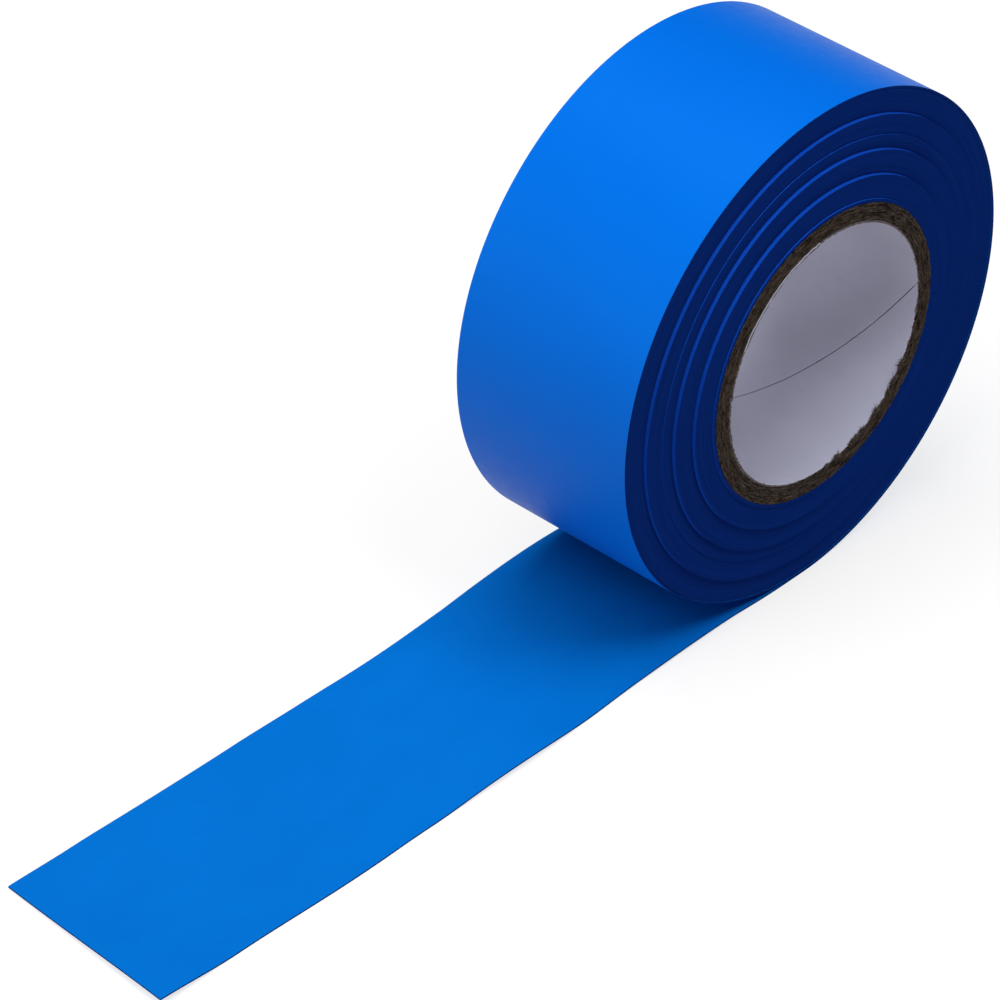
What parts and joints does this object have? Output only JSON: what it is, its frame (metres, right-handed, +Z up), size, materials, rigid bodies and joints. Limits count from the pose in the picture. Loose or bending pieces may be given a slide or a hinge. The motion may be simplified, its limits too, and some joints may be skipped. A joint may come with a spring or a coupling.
{
  "type": "electrical tape roll",
  "caption": "Roll of wide blue PVC insulating tape wound on a board core, standing on its rim with a length of tape paid out from the bottom and lying flat, adhesive side up.",
  "frame": {"origin": "centre of the core's bore, half way along it", "axes": "+Y along the roll's axis from the front side to the back side, +Z up, and the tape is paid out along -X at the roll's lowest line"},
  "size_m": [0.1339, 0.0268, 0.0632],
  "materials": {
    "liner_paper": "matte",
    "core_board": "matte",
    "wound_tape": "satin",
    "tape_film": "satin",
    "tape_adhesive": "satin"
  },
  "bodies": {
    "payout": {"outer_turn_film": "tape_film", "outer_turn_adhesive": "tape_adhesive", "payout_film": "tape_film", "payout_adhesive": "tape_adhesive"},
    "roll": {"core_liner": "liner_paper", "core_ply_1": "core_board", "core_ply_2": "core_board", "core_ply_3": "core_board", "core_ply_4": "core_board", "core_ply_5": "core_board", "first_turns": "wound_tape", "wound_band_1": "wound_tape", "wound_band_2": "wound_tape", "wound_band_3": "wound_tape", "wound_band_4": "wound_tape", "wound_band_5": "wound_tape"},
    "free_end": {"free_end_film": "tape_film", "free_end_adhesive": "tape_adhesive"}
  },
  "joints": [
    {"name": "roll_spin", "type": "hinge", "parent": "payout", "child": "roll", "pos_m": [0, 0, 0], "axis": [0, 1, 0], "range_deg": [-70, 290]},
    {"name": "tape_pull", "type": "slide", "parent": "payout", "child": "free_end", "axis": [-1, 0, 0], "range_m": [-0.04, 0.16], "deforming": ["payout_film", "payout_adhesive"]}
  ],
  "couplings": [
    {"joint": "tape_pull", "follows": "roll_spin", "m_per_rad": 0.03155}
  ]
}
